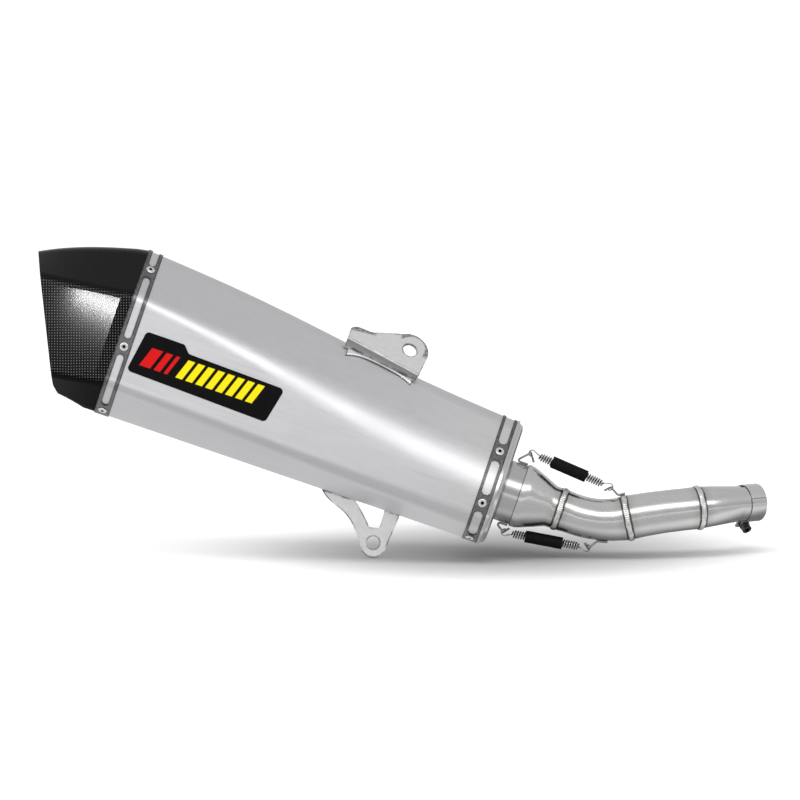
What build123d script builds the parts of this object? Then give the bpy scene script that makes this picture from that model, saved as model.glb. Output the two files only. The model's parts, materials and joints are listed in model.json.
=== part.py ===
from build123d import *

import math
import os

# Racing exhaust for a motorcycle or scooter: a tapered hexagonal muffler with a carbon end cap, and
# a welded link pipe that two springs hold in the muffler's inlet and a band clamp holds on the header.
# Row frame, in mm: +X forwards, +Y to the vehicle's left, +Z up, as fitted. The origin is the centre
# of the header socket's mouth. The muffler is drawn in its own frame (u, w, v): u along its axis
# towards the engine from the middle of the rear trim band, w to the left, v up.

# ---- Muffler body
TILT = 18.9
BODY_LENGTH = 408.0
SHEET = 1.0
TAPER_EASE = 0.05
# Corners of the hexagon: height of the top, upper, lower and bottom corners, half width, corner radii.
REAR_SECTION = (95.3, 41.0, -57.0, -94.0, 68.0, 26.0, 16.0, 16.0, 30.0)
FRONT_SECTION = (59.3, -20.0, -73.5, -91.4, 55.0, 20.0, 90.0, 22.0, 30.0)

# ---- Trim bands and rivets
BAND_WIDTH = 16.0
BAND_THICK = 1.0
BAND_GAP = 0.15
REAR_SLOT_WIDTH = 7.4
FRONT_SLOT_WIDTH = 9.4
REAR_SLOTS = ((74.5, 120.0), (-4.3, 62.8), (-79.7, -22.9))
FRONT_SLOTS = ((17.2, 90.0), (-38.2, -1.0), (-84.0, -57.4))
REAR_RIVETS = (69.3, -13.7, -84.0)
FRONT_RIVETS = (8.2, -47.5, -85.7)
RIVET_SHANK_R = 2.4
RIVET_HEAD_R = 4.75
RIVET_HEAD_H = 1.5
RIVET_HEAD_EASE = 0.25
RIVET_HOLE_R = 1.8
RIVET_HOLE_DEPTH = 4.5
RIVET_REACH = 6.0
RIVET_PLAY = 0.05
ROUND_SLOT_EASE = 0.05
CHAMFER_SHARE = 0.28

# ---- Carbon end cap: u of each station, then the same nine values as a body section
CAP_WALL = 1.8
CAP_LIP = 8.0
CAP_STRIP = -20.0
CAP_STRIP_SECTION = (93.0, 39.5, -59.0, -93.4, 67.7, 24.0, 13.0, 14.0, 28.0)
CAP_STATIONS = (
    (-50.0, 84.3, 35.5, -65.0, -86.0, 63.0, 24.0, 12.0, 13.0, 26.0),
    (-85.0, 71.0, 31.0, -70.0, -82.5, 57.5, 24.0, 12.0, 13.0, 24.0),
    (-124.0, 49.0, 27.0, -72.0, -80.0, 51.2, 24.0, 12.0, 13.0, 22.0),
)
# The slanted rear edge, in (u, v), and where the underside is cut away.
CAP_EDGE_TOP = (-117.6, 49.7)
CAP_EDGE_LOW = (-57.5, -77.6)
CAP_EDGE_ROUND = 5.0
CAP_UNDERCUT = (-34.0, -100.0)

# ---- Gas path inside the muffler
INLET_V = -28.8
OUTLET_V = -10.0
CORE_R = 28.0
CORE_WALL = 1.0
CORE_REAR = 30.0
CORE_FRONT = 384.0
CORE_HOLE_R = 3.0
CORE_HOLE_ROWS = 9
CORE_HOLES_ROUND = 8
OUTLET_R = 29.7
OUTLET_WALL = 1.5
OUTLET_REAR = -46.0
OUTLET_FRONT = 60.0
OUTLET_LIP = 3.2
OUTLET_LIP_RISE = 1.6
OUTLET_LIP_ROUND = 1.3
END_PLATE_U = 9.0
END_PLATE_THICK = 1.5
END_FLANGE = 9.0
INSERT_R = 22.0
INSERT_WALL = 1.2
INSERT_SETBACK = 1.5
INSERT_LENGTH = 68.5
INSERT_RING = 18.0
INSERT_RING_WALL = 2.2
INSERT_SCREW_U = -34.0
SCREW_R = 2.1
SCREW_HEAD_R = 4.2
SCREW_HEAD_H = 3.2
SCREW_SOCKET_R = 1.5
COLLAR_R = 32.5
COLLAR_BORE_R = 30.3
COLLAR_REAR = 372.0
COLLAR_MOUTH = 442.0
# ---- Front cover
PLUG_DEPTH = 14.0
PLUG_WALL = 1.4
RIDGE_WIDTH = 3.2
RIDGE_RISE = 1.6
# Each step of the domed face, as (distance from the sleeve's edge, growth), then its hollow.
DOME_STEPS = ((3.2, -0.8), (6.6, -2.2), (8.2, -6.5))
HOLLOW_STEPS = ((-1.0, -3.0), (6.6, -7.5))

# ---- Inside the sleeve
BAFFLE_U = 378.0
BUSH_REAR = 375.0
BUSH_LENGTH = 7.0
WOOL_REAR = 22.0
WOOL_FRONT = 377.0
WOOL_PLAY = 0.4

# ---- Link pipe: (length, pitch and yaw at the end of the run), from the muffler to the mouth
PIPE_WALL = 1.2
PIPE_STEP = 9.0
ELBOW_RUNS = ((17.6, -TILT, 0.0), (55.3, 11.5, 0.0))
MID_RUNS = ((48.0, 6.2, 8.0), (28.0, 5.8, 15.0))
TAPER_RUNS = ((44.0, 3.0, 33.0),)
SOCKET_LENGTH = 26.0
SOCKET_BORE_R = 17.25
SOCKET_R = 18.75
SLIT_LENGTH = 20.5
SLIT_WIDTH = 1.6
SLIT_END_R = 2.2
SLIT_ANGLES = (106.0, 286.0)
SPIGOT_R = 30.0
SPIGOT_LENGTH = 36.0
SPIGOT_OVERLAP = 8.6
CONE_GAP = 0.3
# The cone's outside and inside, as (distance from its rim, radius).
CONE_PROFILE = ((0.0, 33.9), (5.7, 33.7), (14.6, 30.7), (25.1, 26.6), (35.0, 22.5), (45.2, 21.8))
CONE_INSIDE = ((45.2, 20.6), (35.0, 21.2), (25.1, 25.2), (14.6, 28.3), (8.5, 29.0))
CONE_RIM_STEP = 0.4
ELBOW_RADII = (21.8, 21.4, 21.6, 22.2, 23.1)
MID_RADII = (23.4, 22.8, 22.4, 22.2, 22.2)
TAPER_RADII = (22.2, 21.2, 19.9, 18.75)
WELD_WIDTH = 5.8
WELD_HEIGHT = 0.9
WELD_GAP = 0.35

# ---- Springs, hooks and rubber sleeves
HOOK_WIRE_R = 1.15
SPRING_R = 5.0
SPRING_WIRE = 1.5
SPRING_HOOK_R = 3.4
SPRING_LEG = 10.0
RUBBER_R = 6.45
RUBBER_BORE_R = 5.3
RUBBER_LENGTH = 39.6
RUBBER_SHIFT = 2.0
HOOK_HALF = 4.2
HOOK_BEND = 1.9
HOOK_BEAD_LIFT = 0.4
# Crossbars and ends of the wire hooks: the muffler's in (u, v), the pipe's in (x, z).
UPPER_TIP = (440.0, 17.5)
LOWER_TIP = (439.5, -71.0)
UPPER_PIPE_TIP = (-153.3, 17.0)
LOWER_PIPE_TIP = (-177.5, -47.0)
UPPER_PIPE_FREE = (-160.5, 13.4)
LOWER_PIPE_FREE = (-181.0, -41.5)
UPPER_FREE = (446.3, 8.6)
LOWER_FREE = (444.5, -65.0)
UPPER_LEG = ((441.0, 4.95), (428.0, 4.95))
LOWER_LEG = ((441.0, -62.55), (427.5, -62.55))
UPPER_WELD_X = -138.5
UPPER_KNEE_X = -146.0
LOWER_WELD_X = -157.0
LOWER_KNEE_X = -168.0

# ---- Brackets. The pad's lower edge is in (u, v), on the sleeve's upper right facet.
PLATE = 2.6
PAD_THICK = 2.2
PAD_GAP = 0.15
# The upper bracket's fold: its rear end, its length, how far it dips in that length, and the lean.
UPPER_START = (218.9, -16.0, 70.5)
UPPER_LENGTH = 84.6
UPPER_DIP = 13.5
UPPER_RUN = 83.5
UPPER_LEAN = 38.0
UPPER_HOLE = (64.0, 23.2)
UPPER_HOLE_R = 7.5
UPPER_LOBE_R = 20.0
UPPER_WEB_DEPTH = 30.0
UPPER_EDGE_REAR = ((-1.5, 12.0), (2.5, 17.0), (13.0, 19.4), (25.0, 23.5))
UPPER_EDGE_RISE = ((25.0, 23.5), (38.0, 31.0), (51.0, 38.4))
PAD_LOW_EDGE = ((222.5, 50.9), (242.0, 54.0), (262.0, 52.4), (281.0, 48.8), (297.0, 43.2))
PAD_INNER_W = -9.0
# The lower bracket, as (forwards, up) from its hole.
LOWER_HOLE = (313.8, 2.0, -125.6)
LOWER_HOLE_R = 6.7
LOWER_REAR_EDGE = ((-56.0, 66.0), (-44.0, 43.0), (-29.4, 30.5), (-20.0, 15.8), (-13.7, -3.0))
LOWER_EYE = ((-13.7, -3.0), (0.0, -15.7), (13.7, -5.0))
LOWER_FRONT_EDGE = ((13.7, -5.0), (17.5, 4.5), (23.1, 16.8), (31.0, 52.0))
LOWER_FORK_FRONT = ((15.0, 52.0), (11.0, 31.0), (6.3, 15.0))
LOWER_FORK_REAR = ((-4.2, 16.3), (-8.4, 26.3), (-17.8, 43.0), (-34.0, 66.0))

# ---- Badge: corners in (u, v), from the bottom of its rear end; it steps down behind its taller rear part
BADGE_CORNERS = ((10.3, -36.2), (17.6, 9.1), (59.6, 8.8), (66.7, 0.9), (173.8, -1.8), (165.2, -40.8))
BADGE_ROUND = 4.5
BADGE_THICK = 0.6

# ---- Header clamp
CLAMP_WIDTH = 18.5
CLAMP_INSET = -0.7
CLAMP_THICK = 1.0
CLAMP_GAP = 7.0
CLAMP_ANGLE = -45.0
# The line where the band's end laps over itself.
LAP_ANGLE = 209.0
LAP_WIDTH = 0.7
LAP_DEPTH = 0.5
EAR_THICK = 2.5
BOLT_R = 3.0
BOLT_REACH = 25.0
BOLT_HEAD_R = 5.0
BOLT_HEAD_H = 6.0
BOLT_SOCKET_R = 2.9
BOLT_SOCKET_FLOOR = 2.5
BOLT_SPARE = 1.5
BOLT_HOLE_PLAY = 0.2
EAR_MARGIN = 5.5
EAR_SINK = 0.6
EAR_INSET = 4.0
BUSH_R = 4.6
BUSH_THICK = 2.6
WASHER_R = 5.6
WASHER_THICK = 1.0
STACK_GAP = 0.04
NUT_R = 5.5
NUT_H = 5.0
NUT_TRAVEL = 4.0

# ---- Drawing aids
BODY_BENDS = 7
FAR = 200.0
PLAY = 0.1


# ---------------------------------------------------------------- sections
def offset_corners(corners, distance):
    """Moves each edge of a clockwise or anticlockwise outline outwards and returns its new corners."""
    moved = []
    count = len(corners)
    for index in range(count):
        before = corners[index - 1]
        here = corners[index]
        after = corners[(index + 1) % count]
        first = (Vector(*here) - Vector(*before)).normalized()
        second = (Vector(*after) - Vector(*here)).normalized()
        first_out = Vector(first.Y, -first.X)
        second_out = Vector(second.Y, -second.X)
        shift = (first_out + second_out) * (distance / (1 + first_out.dot(second_out)))
        moved.append((here[0] + shift.X, here[1] + shift.Y))
    return moved


def section_values(u):
    """Corner heights, half width and radii of the body's section at u, easing at both ends."""
    share = u / BODY_LENGTH
    share -= TAPER_EASE * math.sin(2 * math.pi * share)
    return tuple(rear + (front - rear) * share for rear, front in zip(REAR_SECTION, FRONT_SECTION))


def section_corners(values):
    """The hexagon's corners (w, v), anticlockwise from the bottom."""
    top, upper, lower, bottom, half = values[:5]
    return [(0, bottom), (half, lower), (half, upper), (0, top), (-half, upper), (-half, lower)]


def section_face(u, values, grow):
    """A rounded hexagon across the axis at u, grown outwards by grow."""
    radii = [values[8], values[7], values[6], values[5], values[6], values[7]]
    corners = offset_corners(section_corners(values), grow)
    outline = make_face(Polyline(*corners, close=True))
    for corner, radius in zip(corners, radii):
        vertex = outline.vertices().sort_by_distance((corner[0], corner[1], 0))[0]
        outline = fillet(vertex, radius + grow)
    return Plane(origin=(u, 0, 0), x_dir=(0, 1, 0), z_dir=(1, 0, 0)) * outline


def body_solid(start, end, grow, bends=BODY_BENDS):
    """The body's tapered form between two stations, grown outwards by grow."""
    stations = [start + (end - start) * step / (bends - 1) for step in range(bends)]
    return loft([section_face(u, section_values(u), grow) for u in stations])


def body_shell(start, end, outer, inner, bends=BODY_BENDS):
    """A wall that follows the body between the growths outer and inner."""
    hollow = body_solid(start - 1, end + 1, inner, bends)
    return body_solid(start, end, outer, bends) - hollow


def side_prism(outline, low=-FAR, high=FAR):
    """A prism across the body, along w, from an outline drawn in (u, v)."""
    plane = Plane(origin=(0, low, 0), x_dir=(1, 0, 0), z_dir=(0, -1, 0))
    return extrude(plane * outline, -(high - low))


def upper_facet_width(u, height):
    """Distance from the middle plane to the upper facet at this u and height."""
    top, upper, _, _, half = section_values(u)[:5]
    return half * (top - height) / (top - upper)


def facet_frame(u, height, grow):
    """Point and outward normal on the left side's facet at this u and height."""
    def on_facet(station):
        corners = section_corners(section_values(station))[:4]
        here = section_corners(section_values(u))[:4]
        for low, high, low_here, high_here in zip(corners, corners[1:], here, here[1:]):
            if low_here[1] <= height <= high_here[1]:
                share = (height - low_here[1]) / (high_here[1] - low_here[1])
                start = Vector(station, low[0], low[1])
                end = Vector(station, high[0], high[1])
                return start + (end - start) * share, end - start
        raise ValueError("height outside the section")

    point, along = on_facet(u)
    ahead = on_facet(u + 1)[0] - on_facet(u - 1)[0]
    normal = along.cross(ahead).normalized()
    if normal.Y < 0:
        normal = normal * -1
    return point + normal * grow, normal


def tube(plane, start, end, outer, inner):
    """A straight tube along a plane's normal, between two distances from its origin."""
    ring = plane.offset(start) * (Circle(outer) - Circle(inner))
    return extrude(ring, end - start)


def rod(plane, start, end, radius):
    """A round bar along a plane's normal."""
    return extrude(plane.offset(start) * Circle(radius), end - start)


def circles(solid, least):
    """The round edges of a solid whose radius is more than least."""
    rounds = [edge for edge in solid.edges() if edge.geom_type == GeomType.CIRCLE]
    return [edge for edge in rounds if edge.radius > least]


# ---------------------------------------------------------------- trim bands and rivets
def slot_outline(u, low, high, width, round_ends):
    """One slot of a trim band, seen from the side."""
    slot = Pos(u, (low + high) / 2) * Rectangle(width, high - low)
    if round_ends:
        return fillet(slot.vertices(), width / 2 - ROUND_SLOT_EASE)
    return chamfer(slot.vertices(), width * CHAMFER_SHARE)


def rivet_frames(u, heights, grow):
    """Where the rivets of one band sit, on both sides."""
    frames = []
    for height in heights:
        point, normal = facet_frame(u, height, grow)
        frames.append((point, normal))
        frames.append((Vector(point.X, -point.Y, point.Z), Vector(normal.X, -normal.Y, normal.Z)))
    return frames


def rivet_holes(u, heights):
    """Clearance holes for the shanks of one band's rivets."""
    holes = []
    for point, normal in rivet_frames(u, heights, 0):
        plane = Plane(origin=point, z_dir=normal)
        holes.append(rod(plane, -RIVET_REACH - 2, RIVET_REACH + 2, RIVET_SHANK_R + RIVET_PLAY))
    return holes


def rivets(u, heights):
    """The blind rivets of one band, one solid each."""
    made = []
    top = BAND_GAP + BAND_THICK + RIVET_PLAY
    for point, normal in rivet_frames(u, heights, top):
        plane = Plane(origin=point, z_dir=normal)
        shank = rod(plane, -RIVET_REACH, RIVET_HEAD_H / 2, RIVET_SHANK_R)
        head = rod(plane, 0, RIVET_HEAD_H, RIVET_HEAD_R)
        rim = head.edges().sort_by(lambda edge: (edge.center() - point).dot(normal))[-1]
        head = fillet(rim, RIVET_HEAD_H - RIVET_HEAD_EASE)
        hole = rod(plane, -RIVET_HOLE_DEPTH, RIVET_REACH, RIVET_HOLE_R)
        made.append((shank + head - hole).solid())
    return Compound(children=made)


def trim_band(u, slots, width, heights, round_ends):
    """A slotted strip that wraps the end of the sleeve."""
    outer = BAND_GAP + BAND_THICK
    band = body_shell(u - BAND_WIDTH / 2, u + BAND_WIDTH / 2, outer, BAND_GAP, 3)
    for low, high in slots:
        band -= side_prism(slot_outline(u, low, high, width, round_ends))
    for hole in rivet_holes(u, heights):
        band -= hole
    return band


# ---------------------------------------------------------------- muffler shells
def outer_sleeve():
    """The tapered sheet-metal sleeve."""
    sleeve = body_shell(-BAND_WIDTH / 2, BODY_LENGTH + BAND_WIDTH / 2, 0, -SHEET)
    for hole in rivet_holes(0, REAR_RIVETS) + rivet_holes(BODY_LENGTH, FRONT_RIVETS):
        sleeve -= hole
    return sleeve


def cap_solid(grow):
    """The end cap's form: a short strip in line with the sleeve, then facets that close in."""
    edge = -BAND_WIDTH / 2
    reach = 0.5 if grow < 0 else 0.0
    joint = section_face(CAP_STRIP, CAP_STRIP_SECTION, grow)
    start = section_face(edge + reach, section_values(edge), grow)
    strip = loft([start, joint], ruled=True)
    rear = loft([joint] + [section_face(row[0], row[1:], grow) for row in CAP_STATIONS])
    return strip + rear


def carbon_end_cap():
    """The visor-shaped carbon cap, open at its slanted rear edge."""
    top = Vector(*CAP_EDGE_TOP)
    low = Vector(*CAP_EDGE_LOW)
    above = low + (top - low) * 2
    ahead = CAP_LIP * 5
    points = [(ahead, FAR), (above.X, FAR), (above.X, above.Y), CAP_EDGE_LOW, CAP_UNDERCUT]
    keep = make_face(Polyline(*points, (ahead, CAP_UNDERCUT[1]), close=True))
    corner = keep.vertices().sort_by_distance((low.X, low.Y, 0))[0]
    keep = fillet(corner, CAP_EDGE_ROUND)
    shell = (cap_solid(0) - cap_solid(-CAP_WALL)) & side_prism(keep)
    lip_start = -BAND_WIDTH / 2 - 0.5
    lip = body_shell(lip_start, CAP_LIP, -SHEET - PAD_GAP, -SHEET - CAP_WALL, 3)
    cap = shell + lip
    for hole in rivet_holes(0, REAR_RIVETS):
        cap -= hole
    return cap


def core_plane():
    """The gas path's sloping axis, from the outlet to the inlet."""
    rear = Vector(0, 0, OUTLET_V)
    front = Vector(CORE_FRONT, 0, INLET_V)
    return Plane(origin=rear, x_dir=(0, 1, 0), z_dir=front - rear)


def rear_end_plate():
    """Closes the sleeve's rear, with a flange round its edge and a hole for the outlet tube."""
    rim = -SHEET - 2 * PLAY
    plate = body_solid(END_PLATE_U, END_PLATE_U + END_PLATE_THICK, rim, 2)
    flange = body_shell(END_PLATE_U, END_PLATE_U + END_FLANGE, rim, rim - END_PLATE_THICK, 2)
    return plate + flange - rod(core_plane(), -FAR, FAR, OUTLET_R + PLAY)


def outlet_tube():
    """The tailpipe, with a rolled lip, through the end plate."""
    plane = core_plane()
    pipe = tube(plane, OUTLET_REAR, OUTLET_FRONT, OUTLET_R, OUTLET_R - OUTLET_WALL)
    rim = OUTLET_R + OUTLET_LIP_RISE
    lip = tube(plane, OUTLET_REAR, OUTLET_REAR + OUTLET_LIP, rim, OUTLET_R - OUTLET_WALL)
    lip = fillet(circles(lip, OUTLET_R + PLAY), OUTLET_LIP_ROUND)
    return pipe + lip - rod(screw_plane(), OUTLET_R / 2, OUTLET_R + 10, SCREW_R + 0.5)


def noise_insert():
    """The removable noise insert: a narrow tube with a ring at its rear end."""
    plane = core_plane()
    bore = OUTLET_R - OUTLET_WALL
    start = OUTLET_REAR + INSERT_SETBACK
    bore -= 2 * PLAY
    body = tube(plane, start, start + INSERT_LENGTH, INSERT_R, INSERT_R - INSERT_WALL)
    ring = tube(plane, start, start + INSERT_RING, bore, bore - INSERT_RING_WALL)
    web = tube(plane, start, start + INSERT_WALL, bore, INSERT_R - INSERT_WALL)
    return body + ring + web - rod(screw_plane(), INSERT_R + 2, OUTLET_R + 10, SCREW_R + 0.05)


def screw_plane():
    """The locking screw's plane, on the outlet's axis and facing down."""
    axis_v = OUTLET_V + INSERT_SCREW_U * (INLET_V - OUTLET_V) / CORE_FRONT
    return Plane(origin=(INSERT_SCREW_U, 0, axis_v), z_dir=(0, 0, -1))


def insert_screw():
    """The small screw under the tailpipe that locks the noise insert."""
    base = screw_plane()
    seat = OUTLET_R + 0.8
    shank = rod(base, seat - 5.0, seat + 0.5, SCREW_R)
    head = rod(base, seat, seat + SCREW_HEAD_H, SCREW_HEAD_R)
    socket = extrude(base.offset(seat + 0.8) * RegularPolygon(SCREW_SOCKET_R, 6), SCREW_HEAD_H)
    return shank + head - socket


def front_cap():
    """The pressed front cover: a plug in the sleeve, a rolled ridge and a slightly domed face."""
    edge = BODY_LENGTH + BAND_WIDTH / 2
    values = section_values(edge)
    rim = -SHEET - 2 * PLAY
    plug = body_shell(edge - PLUG_DEPTH, edge + 1.2, rim, rim - PLUG_WALL, 2)
    for hole in rivet_holes(BODY_LENGTH, FRONT_RIVETS):
        plug -= hole
    ridge = body_solid(edge + 2 * PLAY, edge + RIDGE_WIDTH, RIDGE_RISE, 2)
    dome = loft([section_face(edge + step, values, grow) for step, grow in DOME_STEPS], ruled=True)
    hollow = loft([section_face(edge + step, values, grow) for step, grow in HOLLOW_STEPS], ruled=True)
    bore = rod(inlet_plane(edge), -FAR, FAR, COLLAR_R + PLAY)
    return plug + ridge + dome - hollow - bore


def inlet_plane(u):
    """A plane across the inlet axis at u."""
    return Plane(origin=(u, 0, INLET_V), x_dir=(0, 1, 0), z_dir=(1, 0, 0))


def inlet_collar():
    """The inlet tube that the link pipe's spigot slides into."""
    return tube(inlet_plane(0), COLLAR_REAR, COLLAR_MOUTH, COLLAR_R, COLLAR_BORE_R)


def front_baffle():
    """The inner plate that carries the rear end of the inlet tube."""
    plate = body_solid(BAFFLE_U, BAFFLE_U + END_PLATE_THICK, -SHEET - 3 * PLAY, 2)
    return plate - rod(inlet_plane(BAFFLE_U), -FAR, FAR, COLLAR_R + PLAY)


def core_bush():
    """The ring that centres the perforated core in the inlet tube."""
    ring = rod(inlet_plane(BUSH_REAR), 0, BUSH_LENGTH, COLLAR_BORE_R - PLAY / 2)
    return ring - rod(core_plane(), FAR, BODY_LENGTH, CORE_R + PLAY)


def perforated_core():
    """The straight-through core tube, with rings of holes."""
    plane = core_plane()
    core = tube(plane, CORE_REAR, CORE_FRONT, CORE_R, CORE_R - CORE_WALL)
    first = OUTLET_FRONT + 3 * CORE_HOLE_R
    pitch = (BUSH_REAR - first) / CORE_HOLE_ROWS
    for row in range(CORE_HOLE_ROWS):
        centre = plane.offset(first + row * pitch).origin
        for turn in range(CORE_HOLES_ROUND // 2):
            angle = math.radians((turn + 0.5 * (row % 2)) * 360 / CORE_HOLES_ROUND)
            across = plane.x_dir * math.cos(angle) + plane.y_dir * math.sin(angle)
            drill = Plane(origin=centre, z_dir=across)
            core -= rod(drill, -2 * CORE_R, 2 * CORE_R, CORE_HOLE_R)
    return core


def absorption_wool():
    """The sound-absorbing packing between the core and the sleeve."""
    packing = body_solid(WOOL_REAR, WOOL_FRONT, -SHEET - 0.6, 5)
    packing -= rod(core_plane(), -FAR, 4 * FAR, CORE_R + WOOL_PLAY)
    packing -= rod(core_plane(), -FAR, OUTLET_FRONT + 1, OUTLET_R + WOOL_PLAY)
    return packing - rod(inlet_plane(0), COLLAR_REAR - 1, 3 * FAR, COLLAR_R + WOOL_PLAY)


def badge_plate():
    """The plain blank badge on the right side, which follows the sleeve."""
    outline = fillet(make_face(Polyline(*BADGE_CORNERS, close=True)).vertices(), BADGE_ROUND)
    rear = BADGE_CORNERS[0][0] - 10
    front = BADGE_CORNERS[-1][0] + 20
    skin = body_shell(rear, front, BADGE_THICK + 0.05, 0.05, 4)
    return skin & side_prism(outline, -FAR, 0)


# ---------------------------------------------------------------- brackets
def upper_fold():
    """The upper bracket's fold: its rear end, the way it runs, the web's rise and the plate's rise."""
    along = Vector(UPPER_RUN, 0, -UPPER_DIP).normalized()
    up = Vector(UPPER_DIP, 0, UPPER_RUN).normalized()
    lean = math.radians(UPPER_LEAN)
    return Vector(*UPPER_START), along, up, up * math.cos(lean) + Vector(0, 1, 0) * math.sin(lean)


def upper_bracket():
    """A bent plate: an upright web on the sleeve, and a leaning plate with the fixing hole."""
    start, along, up, leaning = upper_fold()
    plate_plane = Plane(origin=start, x_dir=along, z_dir=along.cross(leaning))
    web_plane = Plane(origin=start, x_dir=along, z_dir=along.cross(up))
    x, y = UPPER_HOLE
    crown_start = UPPER_EDGE_RISE[-1]
    crown_middle = (x + UPPER_LOBE_R / 2, y + UPPER_LOBE_R * math.sqrt(3) / 2)
    crown_end = (x + UPPER_LOBE_R, y)
    edge = [
        Line((0, 0), UPPER_EDGE_REAR[0]),
        Spline(*UPPER_EDGE_REAR),
        Spline(*UPPER_EDGE_RISE),
        ThreePointArc(crown_start, crown_middle, crown_end),
        Polyline(crown_end, (UPPER_LENGTH, 0), (0, 0)),
    ]
    outline = make_face(edge) - Pos(x, y) * Circle(UPPER_HOLE_R)
    plate = extrude(plate_plane * outline, -PLATE)
    lap = PLATE / 3
    feet = (UPPER_LENGTH - PLATE, -UPPER_WEB_DEPTH), (PLATE, -UPPER_WEB_DEPTH)
    web_outline = make_face(Polyline((0, lap), (UPPER_LENGTH, lap), *feet, close=True))
    web = extrude(web_plane * web_outline, -PLATE)
    return plate + web - body_solid(FAR, 1.6 * FAR, PAD_THICK + PAD_GAP, 4)


def upper_bracket_pad():
    """The doubler sheet that spreads the upper bracket's load, its edges cut square to the ground."""
    edge = [(u, -upper_facet_width(u, v)) for u, v in PAD_LOW_EDGE]
    rear = (edge[0][0], PAD_INNER_W)
    front = (edge[-1][0], PAD_INNER_W)
    outline = make_face([Spline(*edge), Polyline(edge[-1], front, rear, edge[0])])
    skin = body_shell(rear[0] - 15, front[0] + 15, PAD_THICK, PLAY, 4)
    return skin & extrude(outline, FAR)


def lower_bracket():
    """The Y-shaped plate under the muffler, with the lower fixing hole."""
    level = (math.cos(math.radians(TILT)), 0, math.sin(math.radians(TILT)))
    plane = Plane(origin=LOWER_HOLE, x_dir=level, z_dir=(0, -1, 0))
    edge = [
        Spline(*LOWER_REAR_EDGE),
        ThreePointArc(*LOWER_EYE),
        Spline(*LOWER_FRONT_EDGE),
        Line(LOWER_FRONT_EDGE[-1], LOWER_FORK_FRONT[0]),
        Spline(*LOWER_FORK_FRONT),
        Line(LOWER_FORK_FRONT[-1], LOWER_FORK_REAR[0]),
        Spline(*LOWER_FORK_REAR),
        Line(LOWER_FORK_REAR[-1], LOWER_REAR_EDGE[0]),
    ]
    outline = make_face(edge) - Circle(LOWER_HOLE_R)
    return extrude(plane * outline, PLATE) - body_solid(FAR, 2 * FAR, PLAY, 4)


# ---------------------------------------------------------------- link pipe
def heading(pitch, yaw):
    """Unit vector that climbs by pitch and turns left by yaw."""
    level = math.cos(math.radians(pitch))
    return Vector(
        level * math.cos(math.radians(yaw)),
        level * math.sin(math.radians(yaw)),
        math.sin(math.radians(pitch)),
    )


def run_steps(runs):
    """How many even steps each run is cut into."""
    return [round(run[0] / PIPE_STEP) for run in runs]


def walk(runs, pitch, yaw):
    """Positions and headings along arcs that turn evenly from one heading to the next."""
    place = Vector(0, 0, 0)
    frames = [(place, heading(pitch, yaw))]
    for (length, end_pitch, end_yaw), steps in zip(runs, run_steps(runs)):
        for step in range(steps):
            share = (step + 0.5) / steps
            middle = heading(pitch + (end_pitch - pitch) * share, yaw + (end_yaw - yaw) * share)
            place = place + middle * (length / steps)
            share = (step + 1) / steps
            frames.append((
                place,
                heading(pitch + (end_pitch - pitch) * share, yaw + (end_yaw - yaw) * share),
            ))
        pitch = end_pitch
        yaw = end_yaw
    return frames


def pipe_frames():
    """The centre line from the cone's end to the mouth, moved so that the mouth is at the origin."""
    runs = ELBOW_RUNS + MID_RUNS + TAPER_RUNS
    frames = walk(runs, -TILT, 0.0)
    end_pitch, end_yaw = runs[-1][1:]
    mouth = frames[-1][0] + heading(end_pitch, end_yaw) * SOCKET_LENGTH
    return [(place - mouth, towards) for place, towards in frames]


def frame_plane(frame):
    """A plane across the pipe."""
    place, towards = frame
    return Plane(origin=place, x_dir=Vector(0, 0, 1).cross(towards), z_dir=towards)


def eased_radii(count, radii):
    """One radius for each station, eased along a short list."""
    eased = []
    for index in range(count):
        spot = index / (count - 1) * (len(radii) - 1)
        low = min(int(spot), len(radii) - 2)
        eased.append(radii[low] + (radii[low + 1] - radii[low]) * (spot - low))
    return eased


def pipe_between(frames, radii):
    """A hollow pipe through stations."""
    planes = [frame_plane(frame) for frame in frames]
    sizes = eased_radii(len(frames), radii)
    outer = loft([plane * Circle(size) for plane, size in zip(planes, sizes)])
    inner = loft([plane * Circle(size - PIPE_WALL) for plane, size in zip(planes, sizes)])
    return outer - inner


def weld_bead(frame, radius):
    """A raised bead round the pipe."""
    plane = frame_plane(frame)
    half = WELD_WIDTH / 2
    inner = radius + WELD_GAP
    edge = [
        ThreePointArc((inner, -half), (inner + WELD_HEIGHT, 0), (inner, half)),
        Line((inner, half), (inner, -half)),
    ]
    profile = Plane(origin=plane.origin, x_dir=plane.x_dir, z_dir=-plane.y_dir) * make_face(edge)
    return revolve(profile, Axis(plane.origin, plane.z_dir), 360)


def link_cone():
    """The rim and cone that close down from the muffler's inlet to the pipe."""
    seat = CONE_INSIDE[-1][0]
    rim = CONE_PROFILE[0]
    bore = SPIGOT_R + PLAY / 2
    edge = [
        Spline(*CONE_PROFILE, tangents=((1, 0), (1, -0.04))),
        Line(CONE_PROFILE[-1], CONE_INSIDE[0]),
        Spline(*CONE_INSIDE),
        Polyline(CONE_INSIDE[-1], (seat, bore), (CONE_RIM_STEP, bore), (CONE_RIM_STEP, rim[1]), rim),
    ]
    profile = make_face(edge)
    plane = Plane(origin=(COLLAR_MOUTH + CONE_GAP, 0, INLET_V), x_dir=(1, 0, 0), z_dir=(0, -1, 0))
    return revolve(plane * profile, Axis(plane.origin, (1, 0, 0)), 360)


def link_spigot():
    """The plain tube that slides into the muffler's inlet."""
    start = COLLAR_MOUTH - SPIGOT_LENGTH
    return tube(inlet_plane(0), start, COLLAR_MOUTH + SPIGOT_OVERLAP, SPIGOT_R, SPIGOT_R - PIPE_WALL)


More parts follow.
